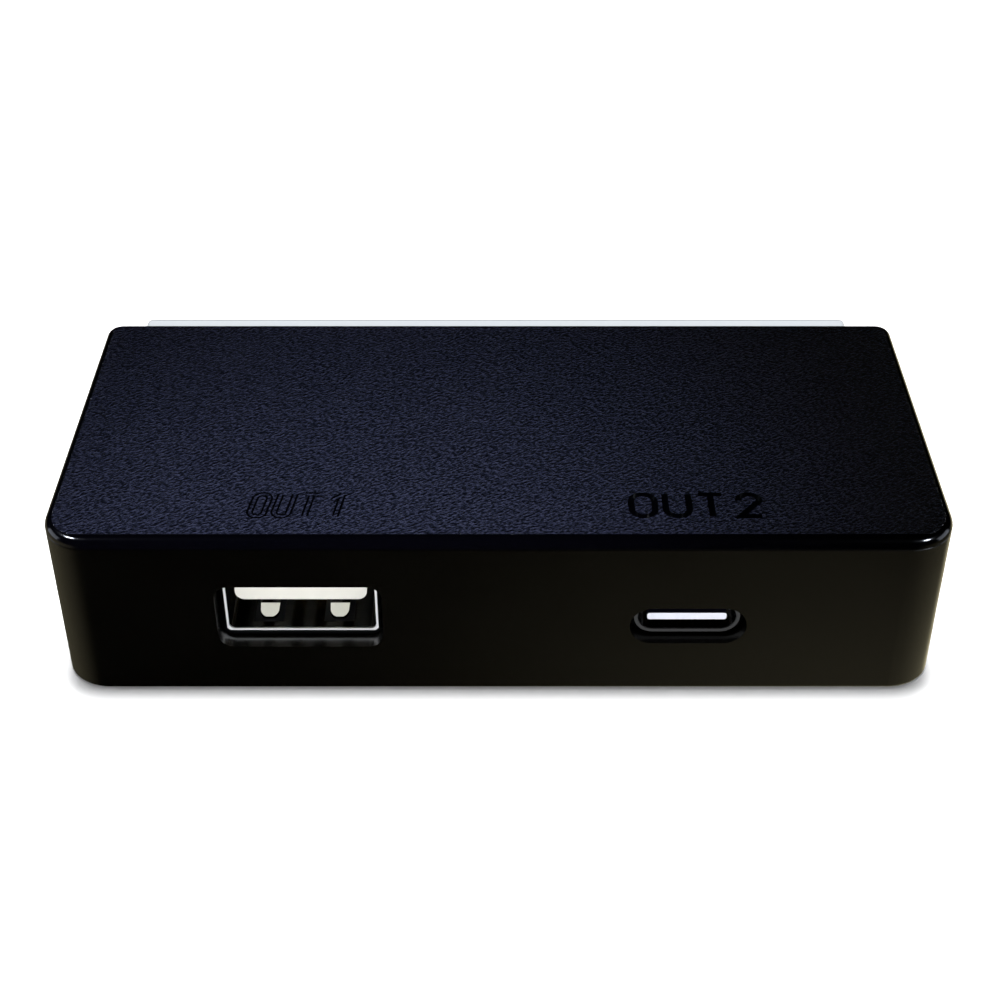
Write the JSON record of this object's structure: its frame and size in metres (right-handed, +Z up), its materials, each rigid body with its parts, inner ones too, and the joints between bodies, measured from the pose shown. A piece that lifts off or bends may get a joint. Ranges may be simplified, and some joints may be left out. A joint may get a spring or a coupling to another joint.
{
  "type": "usb power meter",
  "caption": "Small black inline USB power meter: textured cover, USB-A and USB-C outputs in front, clear display window and mode button behind, USB-C input at one end.",
  "frame": {"origin": "centre of the case's flat underside, midway between its ends and between its front and rear faces", "axes": "+X towards the right end seen from the port face, +Y from the port face to the display face, +Z up through the cover"},
  "size_m": [0.075, 0.0365, 0.016],
  "materials": {
    "case_black": "smooth satin ABS, faintly brown-black",
    "cover_black": "blue-black ABS, spark-eroded texture on the flat top, polished rounded edge",
    "screw_steel": "zinc-plated steel",
    "shell_steel": "bright nickel-plated stamped sheet",
    "white_insulator": "moulded off-white insulator",
    "dark_insulator": "moulded black insulator",
    "pale_insulator": "moulded bluish-white insulator",
    "contact_gold": "gold-flashed stamped contacts",
    "board_black": "black solder mask over woven glass laminate",
    "clear_window": "clear acrylic with polished faces",
    "tape_black": "black die-cut adhesive tape",
    "polariser_film": "grey-green polarising film",
    "lcd_glass": "display glass with the segments off",
    "light_guide": "white light guide",
    "button_black": "satin moulded button",
    "ferrite_grey": "sintered ferrite",
    "copper_wire": "enamelled copper winding",
    "can_aluminium": "drawn aluminium can",
    "chip_black": "moulded epoxy",
    "tinned_lead": "tin-plated leads",
    "fuse_ceramic": "white ceramic body",
    "capacitor_tan": "tan multilayer ceramic"
  },
  "bodies": {
    "case": {"main_housing": "case_black", "top_cover": "cover_black", "housing_screws": "screw_steel", "usb_a_shell": "shell_steel", "usb_c_shell": "shell_steel", "input_shell": "shell_steel", "usb_a_tongue": "white_insulator", "usb_c_tongue": "pale_insulator", "input_tongue": "pale_insulator", "usb_a_contacts": "contact_gold", "usb_c_contacts": "contact_gold", "input_contacts": "contact_gold", "main_board": "board_black", "display_board": "board_black", "display_header": "dark_insulator", "header_pins": "contact_gold", "display_window": "clear_window", "window_tape": "tape_black", "lcd_polariser": "polariser_film", "lcd_glass": "lcd_glass", "lcd_backlight": "light_guide", "lcd_frame": "case_black", "switch_base": "dark_insulator", "switch_cover": "shell_steel", "switch_dome": "shell_steel", "inductor_core": "ferrite_grey", "inductor_winding": "copper_wire", "capacitor_cans": "can_aluminium", "capacitor_bases": "dark_insulator", "meter_controller": "chip_black", "controller_leads": "tinned_lead", "power_controller": "chip_black", "power_transistors": "chip_black", "current_shunts": "chip_black", "input_fuse": "fuse_ceramic", "crystal_can": "can_aluminium", "ceramic_capacitors": "capacitor_tan", "chip_resistors": "chip_black"},
    "button": {"mode_button": "button_black", "switch_plunger": "button_black"}
  },
  "joints": [
    {"name": "button_press", "type": "slide", "parent": "case", "child": "button", "axis": [0, -1, 0], "range_m": [0, 0.0003], "stiffness_N_per_m": 2000, "springref_m": -0.0004, "deforming": ["switch_dome"]}
  ]
}
